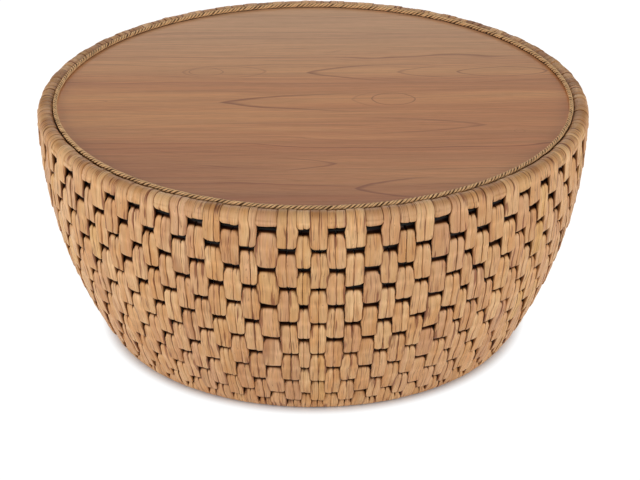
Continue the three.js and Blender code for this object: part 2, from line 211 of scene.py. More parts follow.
# The floor shows its shading out to this distance past the base ring, and is white beyond.
SHADOW_REACH = 31 * MM


def tint(red, green, blue):
    """A colour given as 0 to 255 screen values, in the linear values that shaders take."""
    shares = [value / 255 for value in (red, green, blue)]
    linear = [s / 12.92 if s <= 0.04045 else ((s + 0.055) / 1.055) ** 2.4 for s in shares]
    return (*linear, 1.0)


def number(name, description, default):
    return FloatProperty(name=name, description=description, default=default)


def length(name, description, default):
    """A length, whose default is given in mm."""
    return FloatProperty(
        name=name, description=description, default=default * MM, unit="LENGTH"
    )


def colour(name, description, *screen):
    """A colour, whose default is given as 0 to 255 screen values."""
    return FloatVectorProperty(
        name=name,
        description=description,
        default=tint(*screen),
        subtype="COLOR",
        size=4,
        min=0,
        max=1,
    )


class WallSettings(bpy.types.PropertyGroup):
    top_radius: length("Top radius", "Outside of the wall at the rim", 457.5)
    foot_radius: length("Foot radius", "Outside of the wall at the floor", 347)
    crown_level: length("Crown level", "Height of the folded rim", 400)
    foot_level: length("Foot level", "Height of the wall's lower edge", 3)
    fold_radius: length("Fold radius", "Outside of the strands round the rim tube", 14)
    strand_thickness: length("Strand thickness", "Thickness of one flat strand", 3)
    zigzag: number("Zigzag", "Share of its pitch that a border steps aside", 0.04)
    seed: IntProperty(name="Seed", description="Start of the random variation", default=11)
    straw: colour("Straw", "Main colour of a dry strand", 224, 164, 102)
    pale: colour("Pale", "Bleached patches", 238, 192, 137)
    gold: colour("Gold", "Strands that dried yellow", 226, 178, 100)
    grey: colour("Grey", "Pinkish grey strands", 206, 152, 113)
    rust: colour("Rust", "Reddish brown streaks", 136, 72, 38)


class HoopSettings(bpy.types.PropertyGroup):
    count: IntProperty(name="Hoops", description="Hoops down the wall", default=12)
    rod_radius: length("Rod radius", "Half the thickness of a hoop rod", 2.6)
    depth: length("Depth", "Middle of a hoop behind the wall's face", 10.2)
    first_drop: length("First drop", "Arc from the rim to the first hoop", 16.5)
    last_step: length("Last step", "Arc between the last two hoops", 22.5)
    last_rise: length("Last rise", "Arc from the last hoop to the foot", 20)


class FrameSettings(bpy.types.PropertyGroup):
    rib_width: length("Rib width", "Width of an upright flat bar", 8)
    rib_thickness: length("Rib thickness", "Thickness of an upright flat bar", 6)
    rib_depth: length("Rib depth", "Outer face of a rib behind the wall's face", 13.5)
    iron: colour("Iron", "Black lacquer on the iron", 9, 8, 7)
    zinc: colour("Zinc", "Plated screws", 190, 190, 184)
    nylon: colour("Nylon", "Moulded glides", 38, 38, 40)


class CordSettings(bpy.types.PropertyGroup):
    plies: IntProperty(name="Plies", description="Yarns twisted into the cord", default=3)
    radius: length("Radius", "Half the thickness of the cord", 3.7)
    lay: length("Lay", "Length of one full twist", 22)
    straw: colour("Straw", "Colour of the cord's fibres", 250, 204, 148)
    # The shade colour is painted into the grooves between the plies, and into the darkest fibre
    # streaks.
    shade: colour("Shade", "Colour between the fibres", 104, 64, 34)


class TopSettings(bpy.types.PropertyGroup):
    early: colour("Early wood", "Light wood between the growth lines", 222, 155, 97)
    late: colour("Late wood", "Darker wood before a growth line", 201, 128, 76)
    line: colour("Growth line", "Sharp growth lines", 122, 50, 22)
    # Painted sheen: the top is made paler and greyer towards its far edge, where light gives it a
    # sheen.
    painted_far_sheen: colour("Sapwood", "Paler wood towards the far edge", 216, 172, 134)
    # Painted shade: the top is made darker and redder towards its near edge.
    painted_near_shade: colour("Heartwood", "Redder wood towards the near edge", 152, 82, 46)
    spacing: length("Spacing", "Usual distance between growth lines", 27)
    bar: colour("Bar wood", "Sawn softwood under the top", 176, 134, 92)


class StudioSettings(bpy.types.PropertyGroup):
    distance: length("Distance", "From the camera to its target", 4117.5)
    target_level: length("Target level", "Height of the camera's target", 205.9)
    elevation: number("Elevation", "Camera above the horizon, in degrees", 25.44)
    bearing: number("Bearing", "Camera round the table, in degrees", -91.1)
    lens: number("Lens", "Focal length in mm", 136.1)
    floor: colour("Floor", "Pale studio floor", 242.25, 244.63, 249.31)


SETTINGS = {
    "drum_wall": WallSettings,
    "drum_hoops": HoopSettings,
    "drum_frame": FrameSettings,
    "drum_cord": CordSettings,
    "drum_top": TopSettings,
    "drum_studio": StudioSettings,
}


def circle(steps):
    """Angles of evenly spaced steps round a full turn."""
    return 2 * math.pi * np.arange(steps) / steps


def around(radius, level, angle):
    """Points given by radius, level and angle round the table's axis."""
    radius, level, angle = np.broadcast_arrays(radius, level, angle)
    return np.stack([radius * np.cos(angle), radius * np.sin(angle), level], axis=-1)


def turned(vertices, angle):
    cos, sin = math.cos(angle), math.sin(angle)
    x, y, z = np.asarray(vertices).T
    return np.stack([x * cos - y * sin, x * sin + y * cos, z], axis=1)


def blend_step(value, low, high):
    """0 below low, 1 above high, and smooth between them."""
    share = np.clip((np.asarray(value) - low) / (high - low), 0, 1)
    return share * share * (3 - 2 * share)


def peak(value, middle, reach, power=2):
    """1 at the middle, falling off smoothly over the reach. A high power flattens it."""
    return np.exp(-(((value - middle) / reach) ** power))


def wander(rng, places, knot_step, reach):
    """A smooth random line over the places, within the reach."""
    count = max(int((places[-1] - places[0]) / knot_step) + 2, 3)
    knots = np.linspace(places[0], places[-1], count)
    return np.interp(places, knots, rng.uniform(-reach, reach, count))


def grid_quads(rings, points, start=0, close_rings=False):
    """Quads of a tube of rings, each with the same number of points, facing out."""
    steps = rings if close_rings else rings - 1
    i, j = np.meshgrid(np.arange(steps), np.arange(points), indexing="ij")
    after = (i + 1) % rings
    beside = (j + 1) % points
    quads = [i * points + j, after * points + j, after * points + beside, i * points + beside]
    return (start + np.stack([q.ravel() for q in quads], axis=1)).tolist()


def capped_quads(rings, points, start=0):
    """Faces of a tube of rings with both ends closed."""
    first = list(range(start, start + points))
    last = [(rings - 1) * points + place for place in reversed(first)]
    return [*grid_quads(rings, points, start), first, last]


def add_piece(name, mesh, material, replaced):
    mesh.materials.append(material)
    piece = bpy.data.objects.new(name, mesh)
    bpy.context.scene.collection.objects.link(piece)
    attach(piece, BODY)
    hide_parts(replaced)
    return piece


def smooth_piece(name, vertices, faces, material, replaced):
    mesh = bpy.data.meshes.new(name)
    mesh.from_pydata(np.asarray(vertices).tolist(), [], faces)
    mesh.shade_smooth()
    return add_piece(name, mesh, material, replaced)


def add_strand_vectors(piece, places, forms_and_shading):
    """Each vertex's place on its strand, and the values from which the shader paints shade and
    highlight on it.
    """
    for name, parts in (("strand_place", places), ("strand_form_and_shading", forms_and_shading)):
        values = np.concatenate([part.reshape(-1, 3) for part in parts])
        attribute = piece.data.attributes.new(name, "FLOAT_VECTOR", "POINT")
        attribute.data.foreach_set("vector", values.astype(np.float32).ravel())


# Weave

class Section:
    """The wall's section: one arc, upright at the rim, and the fold over the rim tube."""

    def __init__(self, scene):
        wall, hoops = scene.drum_wall, scene.drum_hoops
        self.fold_radius = wall.fold_radius
        self.wide_level = wall.crown_level - wall.fold_radius
        spread = wall.top_radius - wall.foot_radius
        self.arc_radius = (self.wide_level**2 + spread**2) / (2 * spread)
        self.arc_centre = wall.top_radius - self.arc_radius
        self.rim_radius = wall.top_radius - wall.fold_radius
        rise = self.wide_level - wall.foot_level
        self.foot_drop = self.arc_radius * math.asin(rise / self.arc_radius)
        last_drop = self.foot_drop - hoops.last_rise
        steps = hoops.count - 2
        pitch = (last_drop - hoops.last_step - hoops.first_drop) / steps
        drops = [hoops.first_drop + pitch * row for row in range(steps + 1)]
        self.row_drops = np.array([*drops, last_drop])
        self.knot_drops = [drops[0] - pitch / 2, *self.row_drops, last_drop + pitch / 2]

    def on_wall(self, drop, depth):
        angle = np.asarray(drop) / self.arc_radius
        reach = self.arc_radius - np.asarray(depth)
        return self.arc_centre + reach * np.cos(angle), self.wide_level - reach * np.sin(angle)

    def on_fold(self, turn, radius):
        return self.rim_radius + radius * np.cos(turn), self.wide_level + radius * np.sin(turn)


class StrandPath:
    """Stations of a column's middle line, from inside the rim to under the base ring."""

    def __init__(self, section, parity, at_rib, rng, thickness):
        self.section = section
        self.at_rib = at_rib
        self.thickness = thickness
        self.stations = []
        lift = FOLD_LIFT if parity else -FOLD_LIFT
        self.add_fold(lift)
        self.add_floats(parity, lift, rng)
        self.add_foot()
        values = np.array(self.stations).T
        self.radius, self.level, self.drop, self.depth = values[:4]
        self.float_index = values[4].astype(int)
        self.float_share, self.past_slit, self.down_radius, self.down_level = values[5:]
        self.window = np.sin(math.pi * self.float_share) ** 0.7
        self.wider = FOLD_WIDER * (self.drop < 4 * MM) * (parity == 0)
        self.slant = self.vary(rng, FLOAT_SLANT)

    def vary(self, rng, limits):
        """A random value for each float, at all its stations."""
        return rng.uniform(*limits, self.float_index.max() + 1)[self.float_index]

    def add(self, radius, level, drop, depth, index=0, share=0.0, past=1.0, down=(0, -1)):
        """A station: its place in the section, the arc from the rim down to it, its depth
        behind the wall's face, its float and the share of it that is passed, the distance
        past the slit's middle, and the direction down the wall."""
        self.stations.append((radius, level, drop, depth, index, share, past, *down))

    def add_fold(self, lift):
        """The fold. A strand that passes over the first hoop lies over its neighbours."""
        section = self.section
        middle = section.fold_radius - self.thickness / 2 + lift
        depth = self.thickness / 2 - lift
        for below in (9 * MM, 5 * MM, 2 * MM):
            drop = -math.pi * middle - below
            self.add(section.rim_radius - middle, section.wide_level - below, drop, depth)
        for turn in np.linspace(math.pi, 0, FOLD_STATIONS)[:-1]:
            self.add(*section.on_fold(turn, middle), -turn * middle, depth)

    def add_floats(self, parity, lift, rng):
        section, at_rib = self.section, self.at_rib
        drops = section.row_drops
        last_row = len(drops) - 1
        slits = range(parity, len(drops), 2)
        last = 0.0
        for index, row in enumerate(slits):
            scale = SLIT_ROW_SHARES[min(row, len(SLIT_ROW_SHARES) - 1)] * MM
            above = scale * (DIVE_STRETCH_BY_RIB if at_rib else rng.uniform(*DIVE_STRETCH))
            lag = FLOAT_LAG_BY_RIB if at_rib else rng.uniform(*FLOAT_LAG) * (1 - row / 14)
            if row == last_row:
                lag = FLOAT_LAG_AT_LAST_HOOP
            middle = drops[row] + rng.uniform(*SLIT_SHIFT) * MM
            start = last
            end = middle - DIVE_ABOVE[0][0] * above
            span = middle - start
            steps = max(int((end - start) / FLOAT_STEP), 1)
            for k in range(1 if index else 0, steps):
                drop = start + (end - start) * k / steps
                depth = FLOAT_DEPTH - (0 if index else lift)
                self.add_wall(drop, depth, index, (drop - start) / span)
            for distance, depth in DIVE_ABOVE:
                drop = max(middle - distance * above, HIGHEST_DIVE)
                self.add_wall(drop, depth * MM, index, (drop - start) / span, -distance * above)
            room = (drops[row + 2] if row + 2 <= last_row else section.foot_drop) - middle
            for distance, depth in DIVE_BELOW:
                past = distance * scale * (1 + 0.02 * row) + lag * MM
                if middle + past < section.foot_drop - LOWEST_DIVE_ABOVE_FOOT:
                    last = middle + past
                    self.add_wall(last, depth * MM, index + 1, past / room, past)
        if slits[-1] < last_row:
            end = section.foot_drop - LAST_FLOAT_ABOVE_FOOT
            for drop in np.linspace(last, end, 3)[1:]:
                self.add_wall(drop, LAST_FLOAT_DEPTH, len(slits), 0.6)

    def add_wall(self, drop, depth, index, share, past=1.0):
        radius, level = self.section.on_wall(drop, depth)
        below = self.section.on_wall(drop + MM, depth)
        down = ((below[0] - radius) / MM, (below[1] - level) / MM)
        self.add(radius, level, drop, depth, index, min(max(share, 0.0), 1.0), past, down)

    def add_foot(self):
        radius, level, drop, depth, index = self.stations[-1][:5]
        depth = min(depth, 4 * MM)
        curl = FOOT_CURL[:FOOT_CURL_AT_GLIDE] if self.at_rib else FOOT_CURL
        for k, place in enumerate(np.array(curl) * MM):
            drop += math.dist((radius, level), place)
            radius, level = place
            # Painted shade: the curl's depth grows under the base ring, so the shader darkens its
            # underside.
            sunk = depth + (12 * MM - depth) * min(max(k - 2, 0) / 4, 1)
            self.add(radius, level, drop, sunk, index, 1.0)

    def end_shift(self, across, corner):
        """How far the ends of a float lie down the wall: its corners draw back from the
        slit, and the whole end lies a little aslant."""
        past = self.past_slit
        above = blend_step(-past, 1 * MM, 3 * MM) * (1 - blend_step(-past, 6 * MM, 13 * MM))
        below = blend_step(past, 1.5 * MM, 4 * MM) * (1 - blend_step(past, 8 * MM, 16 * MM))
        outside = 1 - blend_step(self.depth, 5 * MM, 8.5 * MM)
        rounded = CORNER_BELOW * below - CORNER_ABOVE * above
        aslant = self.slant * (above + below)
        return outside[:, None] * (rounded[:, None] * corner + aslant[:, None] * across)


def column_borders(rng):
    """Angles of the borders between the columns, with the ribs kept in their columns."""
    widths = rng.uniform(0.92, 1.08, COLUMNS)
    for column, share in NARROW_COLUMNS.items():
        widths[column] = share
    for panel in range(PANELS):
        first = panel * COLUMNS_PER_PANEL
        rib = first + RIB_COLUMN
        for half in (slice(first, rib), slice(rib + 1, first + COLUMNS_PER_PANEL)):
            widths[half] *= RIB_COLUMN / widths[half].sum()
        widths[rib] = 1.0
    return -PANEL_ANGLE / 2 + np.concatenate([[0], np.cumsum(widths)]) * PITCH_ANGLE


class Borders:
    """The lines between the columns. A border leans a little and steps aside at each row,
    into the column that dives there."""

    def __init__(self, rng, section, zigzag):
        self.angles = column_borders(rng)
        self.section = section
        rows = len(section.row_drops)
        border, row = np.meshgrid(np.arange(COLUMNS), np.arange(rows), indexing="ij")
        side = np.where(row % 2 == (border + 1) % 2, 1, -1)
        self.steps = side * zigzag * rng.uniform(0.2, 1.6, side.shape) * PITCH_ANGLE
        self.leans = rng.uniform(-0.06, 0.06, (COLUMNS, rows + 2)) * PITCH_ANGLE

    def edges(self, column, path):
        """Angles of a column's two edges along a strand path. Behind the hoops a strand
        is as wide as it was, and fills the room behind its neighbours."""
        behind = blend_step(path.depth, 7 * MM, 11 * MM)
        near = peak(path.drop[:, None], self.section.row_drops + MM, 7.5 * MM, 4)
        edges = []
        for border, out in ((column, -1), (column + 1, 1)):
            leans = self.leans[border % COLUMNS]
            lean = np.interp(path.drop, self.section.knot_drops, leans)
            step = (near * self.steps[border % COLUMNS]).sum(axis=1)
            by_rib = (column + out) % COLUMNS_PER_PANEL == RIB_COLUMN
            reach = (WIDER_BY_RIB if by_rib else WIDER_BEHIND) * PITCH_ANGLE
            step = step * (1 - behind) + out * reach * behind
            edges.append(self.angles[border] + lean + step)
        return edges


def strand_shares(rng, path):
    """How a column is shared by its strands along its path: mostly two, some one or three."""
    draw = rng.random()
    if path.at_rib or draw < 0.7:
        splits = [0.5 + rng.uniform(-0.08, 0.08)]
    elif draw < 0.87:
        splits = []
    else:
        splits = [rng.uniform(0.28, 0.36), rng.uniform(0.62, 0.7)]
    lines = [np.zeros(len(path.drop))]
    for split in splits:
        reach = 0.03 if path.at_rib or len(splits) > 1 else 0.08
        aside = path.vary(rng, (-reach, reach)) * path.window
        lines.append(split + aside + wander(rng, path.drop, 90 * MM, 0.02))
    lines.append(np.ones(len(path.drop)))
    return list(zip(lines, lines[1:]))


def clear_rib(path, left, low, high):
    """The sides of a strand in a rib's column: behind the hoops it passes beside the rib."""
    clear = blend_step(path.depth, 8 * MM, 11.5 * MM) * RIB_CLEARANCE
    clear = np.where(path.drop > path.section.foot_drop - 12 * MM, 0.0, clear)
    if left.max() == 0:
        return low, np.where(clear > 0, np.minimum(high, -clear), high)
    return np.where(clear > 0, np.maximum(low, clear), low), high


def weave_strand(path, rng, edges, left, right, seed):
    """One flat strand: its vertices, its place, and the values from which the shader paints shade
    and highlight on it. Its column lies between two edges, which are angles along the path."""
    angle = (edges[0] + edges[1]) / 2
    width = (edges[1] - edges[0]) * path.radius
    swell = path.vary(rng, FLOAT_SWELL) * path.window * MM
    shift = path.vary(rng, FLOAT_SHIFT) * path.window * MM
    roll = path.vary(rng, FLOAT_ROLL) * path.window
    width_share = 1 + path.vary(rng, FLOAT_WIDTH) * path.window
    low, high = (left - 0.5) * width, (right - 0.5) * width
    if path.at_rib:
        low, high = clear_rib(path, left, low, high)
    shoulder = 0
    for inset, place, reach in SHOULDERS:
        shoulder = shoulder + inset * MM * peak(path.past_slit, place * MM, reach * MM)
    outer_edges = 0.5 * (left.max() == 0) + 0.5 * (right.min() == 1)
    gap = rng.uniform(*STRAND_GAP) * MM
    half = (high - low - gap + path.wider) / 2 * width_share - shoulder * outer_edges
    half = np.maximum(half, SMALLEST_HALF_WIDTH)
    across = ((low + high) / 2 + shift)[:, None] + half[:, None] * ACROSS_SHARES

    along = path.drop - path.drop[0]
    crown = np.clip(RISE_SHARES * 2.2, 0, 1) * (1 - ACROSS_SHARES**4)
    ridges = rng.uniform(*STRAND_RIDGES, len(ACROSS_SHARES)) * MM * crown
    fade = 1 + wander(rng, along, 30 * MM, 0.6)
    off_row = np.abs(path.drop[:, None] - path.section.row_drops).min(axis=1)
    pad = PAD_THICKNESS * peak(off_row, 0, PAD_REACH, 4) * (path.depth < 3 * MM)
    rise = path.thickness * RISE_SHARES + ridges * fade[:, None]
    rise = rise - pad[:, None] * (RISE_SHARES < 0)
    rise = rise + (swell + rng.uniform(*STRAND_RISE) * MM)[:, None]
    rise = rise + (roll * half)[:, None] * ACROSS_SHARES

    corner = np.clip(np.abs(2 * across / width[:, None]) / 0.55 - 0.82, 0, 1) ** 2
    wear = path.vary(rng, CORNER_WEAR)[:, None], path.vary(rng, CORNER_WEAR)[:, None]
    down = path.end_shift(across, corner * np.where(across > 0, *wear))
    run = np.gradient(np.stack([path.radius, path.level]), axis=1)
    run /= np.linalg.norm(run, axis=0)
    radius = path.radius[:, None] - run[1][:, None] * rise + path.down_radius[:, None] * down
    level = path.level[:, None] + run[0][:, None] * rise + path.down_level[:, None] * down
    vertices = around(radius, level, angle[:, None] + across / path.radius[:, None])

    seeds = seed + path.float_index / FLOATS_PER_STRAND
    place = np.stack(np.broadcast_arrays(across, along[:, None], seeds[:, None]), axis=-1)
    fold_length = math.pi * (path.section.fold_radius - path.thickness / 2)
    # Painted shade: the strand darkens as it dives behind a hoop, and on the inside of the fold
    # next to the cord.
    sunk = blend_step(path.depth, 4.6 * MM, 8.2 * MM)
    sunk = np.maximum(sunk, blend_step(-path.drop / fold_length, 0.7, 0.8))
    # Painted light: a highlight along the top of each float, and painted shade over the top and
    # inside of the fold, none where shade is already painted.
    head = peak(path.float_share, 0.13, 0.09) - 0.9 * blend_step(-path.drop, -2 * MM, 14 * MM)
    head = head * (1 - sunk)
    # Painted shade also on a strand's inner faces where it is padded over a hoop.
    painted_shade = np.maximum(sunk[:, None], 0.8 * (RISE_SHARES < 0) * (pad[:, None] > 0.1 * MM))
    form_and_shading = np.stack(np.broadcast_arrays(np.abs(ACROSS_SHARES), painted_shade, head[:, None]), axis=-1)
    return vertices, place, form_and_shading


def strand_layout(rings, points, index, count):
    """Texture places of one strand's faces: a strip of the sheet, without overlap."""
    across = (index + 0.04 + 0.92 * np.linspace(0, 1, points + 1)) / count
    along = np.linspace(0.01, 0.99, rings)
    i, j = np.meshgrid(np.arange(rings - 1), np.arange(points), indexing="ij")
    i, j = i.ravel(), j.ravel()
    corners = [(i, j), (i + 1, j), (i + 1, j + 1), (i, j + 1)]
    strip = np.stack([np.stack([across[b], along[a]], axis=-1) for a, b in corners], axis=1)
    middle, turn = (index + 0.5) / count, circle(points)
    caps = []
    for end in (0.004, 0.996):
        caps.append(np.stack([middle + 0.3 / count * np.cos(turn), end + 0.003 * np.sin(turn)], 1))
    return [strip.reshape(-1, 2), caps[0], caps[1][::-1]]


def weave_panel(panel, section, borders, thickness, rng, material):
    """Thirteen columns of strands, in one piece."""
    strands = []
    for j in range(COLUMNS_PER_PANEL):
        column = panel * COLUMNS_PER_PANEL + j
        path = StrandPath(section, (column + 1) % 2, j == RIB_COLUMN, rng, thickness)
        edges = borders.edges(column, path)
        for k, (left, right) in enumerate(strand_shares(rng, path)):
            seed = STRANDS_PER_COLUMN * column + k
            strands.append(weave_strand(path, rng, edges, left, right, seed))
    faces, layout, start = [], [], 0
    for index, (at, _, _) in enumerate(strands):
        rings, points = at.shape[:2]
        faces.extend(capped_quads(rings, points, start))
        layout.extend(strand_layout(rings, points, index, len(strands)))
        start += rings * points
    vertices, places, forms_and_shading = zip(*strands)
    vertices = np.concatenate([part.reshape(-1, 3) for part in vertices])
    name, replaced = f"woven_strands_{panel + 1:02d}", f"woven_panel_{panel + 1:02d}"
    piece = smooth_piece(name, vertices, faces, material, replaced)
    add_strand_vectors(piece, places, forms_and_shading)
    sheet = piece.data.uv_layers.new(name="OFBake")
    sheet.data.foreach_set("uv", np.concatenate(layout).astype(np.float32).ravel())


# Rods, ring, ribs

def rod_ring(name, radius, level, rod_radius, material, replaced, rng):
    """A round rod bent into a hoop, a little out of true, with a weld where its ends meet."""
    turns = circle(RING_STEPS)
    weld_angle = math.pi / 2 + rng.uniform(-0.3, 0.3)
    off_weld = np.angle(np.exp(1j * (turns - weld_angle))) * radius
    reach = rod_radius * (1 + 0.16 * peak(off_weld, 0, 4 * MM))[:, None]
    out_of_true = 0.25 * MM * np.sin(3 * turns + rng.uniform(0, 6))
    sides = -circle(ROD_SIDES)
    radii = radius + out_of_true[:, None] + reach * np.cos(sides)
    vertices = around(radii, level + reach * np.sin(sides), turns[:, None]).reshape(-1, 3)
    faces = grid_quads(RING_STEPS, ROD_SIDES, close_rings=True)
    smooth_piece(name, vertices, faces, material, replaced)


def bar_section(width, height, corner, steps=3):
    """Places round the section of a bar with round corners: across it and up it."""
    places = []
    for quarter, (side, end) in enumerate([(1, 1), (-1, 1), (-1, -1), (1, -1)]):
        for k in range(steps + 1):
            turn = (quarter + k / steps) * math.pi / 2
            x = side * (width / 2 - corner) + corner * math.cos(turn)
            y = end * (height / 2 - corner) + corner * math.sin(turn)
            places.append((x, y))
    return np.array(places[::-1]).T


def weld_bead(rng, centre):
    """A small rough ball, flattened, on the given centre."""
    tilt = np.linspace(0.12, math.pi - 0.12, BEAD_RINGS)[:, None]
    turn = -circle(BEAD_SIDES)
    reach = np.sin(tilt) * (1 + rng.uniform(-0.12, 0.12, (BEAD_RINGS, BEAD_SIDES)))
    ball = [reach * np.cos(turn), reach * np.sin(turn), np.cos(tilt)]
    ball = np.stack(np.broadcast_arrays(*ball), axis=-1)
    return (ball * np.array(BEAD_REACH) * MM + centre).reshape(-1, 3)


def make_rib(index, section, settings, hoops, rng, material):
    """An upright flat bar bent to the wall's arc, with a weld bead at each hoop."""
    name = f"rib_{index + 1:02d}"
    lowest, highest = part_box(name)
    depth = settings.rib_depth + settings.rib_thickness / 2
    reach = section.arc_radius - depth
    head, foot = (math.asin((section.wide_level - z) / reach) for z in (highest.z, lowest.z))
    drops = np.linspace(head, foot, RIB_STATIONS) * section.arc_radius
    asides, outs = bar_section(settings.rib_width, settings.rib_thickness, RIB_CORNER)
    radii, levels = section.on_wall(drops[:, None], depth - outs)
    bar = np.stack(np.broadcast_arrays(radii, asides, levels), axis=-1)
    vertices = [bar.reshape(-1, 3)]
    faces = capped_quads(*bar.shape[:2])
    for drop in section.row_drops:
        radius, level = section.on_wall(drop, hoops.depth + hoops.rod_radius)
        faces.extend(capped_quads(BEAD_RINGS, BEAD_SIDES, sum(map(len, vertices))))
        vertices.append(weld_bead(rng, (radius, 0, level)))
    vertices = turned(np.concatenate(vertices), index * PANEL_ANGLE)
    smooth_piece(f"upright_{name}", vertices, faces, material, name)


def make_base_ring(material):
    """The square bar ring that the wall ends on."""
    lowest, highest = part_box("base_ring")
    height = highest.z - lowest.z
    across, up = bar_section(height, height, BASE_RING_CORNER)
    radii = highest.x + BASE_RING_OUT - height / 2 + across
    levels = (lowest.z + highest.z) / 2 + up
    vertices = around(radii, levels, circle(RING_STEPS)[:, None]).reshape(-1, 3)
    faces = grid_quads(RING_STEPS, len(up), close_rings=True)
    smooth_piece("square_base_ring", vertices, faces, material, "base_ring")


# Cord

def make_cord(settings, material):
    """The twisted cord: plies wound round each other, closed into a ring."""
    lowest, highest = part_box("edge_cord")
    radius = settings.radius
    level = lowest.z + radius
    ring_radius = highest.x - (highest.z - lowest.z) / 2 + CORD_OUT
    turns = round(2 * math.pi * ring_radius / settings.lay)
    steps = turns * CORD_STEPS_PER_TURN
    angles = circle(steps)[:, None]
    turn = -circle(PLY_SIDES)
    vertices, faces, places, forms_and_shading = [], [], [], []
    for ply in range(settings.plies):
        twist = turns * angles + 2 * math.pi * ply / settings.plies
        twist = twist + 0.25 * np.sin(angles * 23 + ply) + 0.15 * np.sin(angles * 57 + 2 * ply)
        swell = 1 + 0.07 * np.sin(angles * 71 + 2 * ply) + 0.05 * np.sin(angles * 131 + ply)
        fibre = 1 + 0.07 * np.cos(3 * turn + 9 * turns * angles)
        out = radius * (0.52 + 0.46 * swell * np.cos(turn) * fibre)
        aside = radius * 0.5 * swell * np.sin(turn) * fibre
        radial = out * np.cos(twist) - aside * np.sin(twist)
        rise = out * np.sin(twist) + aside * np.cos(twist)
        vertices.append(around(ring_radius + radial, level + rise, angles).reshape(-1, 3))
        faces.extend(grid_quads(steps, PLY_SIDES, ply * steps * PLY_SIDES, close_rings=True))
        across = turn / (2 * math.pi) * radius * 3.4
        place = np.broadcast_arrays(across, angles * ring_radius, CORD_SEED + ply)
        places.append(np.stack(place, axis=-1))
        # How deep a point lies between the plies. The shader paints shade in the grooves from it.
        groove = np.clip(1.15 - np.hypot(out, aside) / radius, 0, 1)
        forms_and_shading.append(np.stack([groove, 0 * groove, 0 * groove], axis=-1))
    vertices = np.concatenate(vertices)
    piece = smooth_piece("twisted_edge_cord", vertices, faces, material, "edge_cord")
    add_strand_vectors(piece, places, forms_and_shading)


# Top bars, screws and glides

def make_bar(name, material):
    """A sawn bar with its edges eased."""
    lowest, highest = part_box(name)
    built = bmesh.new()
    bmesh.ops.create_cube(built, size=1)
    bmesh.ops.scale(built, vec=highest - lowest, verts=built.verts)
    bmesh.ops.translate(built, vec=(highest + lowest) / 2, verts=built.verts)
    bmesh.ops.bevel(
        built, geom=built.edges[:], offset=BAR_EDGE, segments=3, profile=0.5, affect="EDGES"
    )
    mesh = bpy.data.meshes.new(name)
    built.to_mesh(mesh)
    built.free()
    add_piece(f"sawn_{name}", mesh, material, name)


def make_screw(name, material):
    """A pan-head screw: a cross recess in the head and a thread up the shank."""
    lowest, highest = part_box(name)
    centre = (lowest + highest) / 2
    head_radius = (highest.x - lowest.x) / 2
    head_top = lowest.z + SCREW_HEAD_HEIGHT
    turn = circle(SCREW_SIDES)
    rings = []
    for share, rise in SCREW_HEAD:
        rings.append(around(head_radius * share, lowest.z + SCREW_HEAD_HEIGHT * rise, turn))
    for ring in rings[:3]:
        ring[:, 2] += SCREW_RECESS * peak(np.sin(2 * turn), 0, 0.35)
    rings.append(around(SCREW_SHANK_RADIUS, head_top, turn))
    first, last = head_top + SCREW_PITCH / 2, highest.z - SCREW_POINT
    for level in np.arange(first, last, SCREW_PITCH / 8):
        phase = (level / SCREW_PITCH - turn / (2 * math.pi)) % 1
        rings.append(around(SCREW_SHANK_RADIUS * (0.86 + 0.26 * np.abs(phase - 0.5)), level, turn))
    rings.append(around(SCREW_SHANK_RADIUS * 0.1, highest.z, turn))
    vertices = np.concatenate(rings) + (centre.x, centre.y, 0)
    faces = [face[::-1] for face in capped_quads(len(rings), SCREW_SIDES)]
    smooth_piece(f"pan_{name}", vertices, faces, material, name)


def make_glide(index, material):
    """A moulded pad with a domed rim and a nail recess in its face."""
    name = f"glide_{index + 1:02d}"
    lowest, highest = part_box(name)
    centre_radius = math.hypot(*((lowest + highest) / 2).xy)
    height = (highest.z - lowest.z) / MM
    hole, radius = GLIDE_FACE[0][0], GLIDE_FACE[-1][0]
    profile = [*GLIDE_FACE, (radius, height - GLIDE_EDGE), (radius - GLIDE_EDGE, height)]
    profile.append((hole, height))
    radii, levels = np.array(profile).T[:, :, None] * MM
    vertices = around(radii, levels, circle(GLIDE_SIDES)).reshape(-1, 3)
    vertices = turned(vertices + (centre_radius, 0, lowest.z), index * PANEL_ANGLE)
    faces = [face[::-1] for face in capped_quads(len(profile), GLIDE_SIDES)]
    smooth_piece(f"nylon_{name}", vertices, faces, material, name)


# Shaders

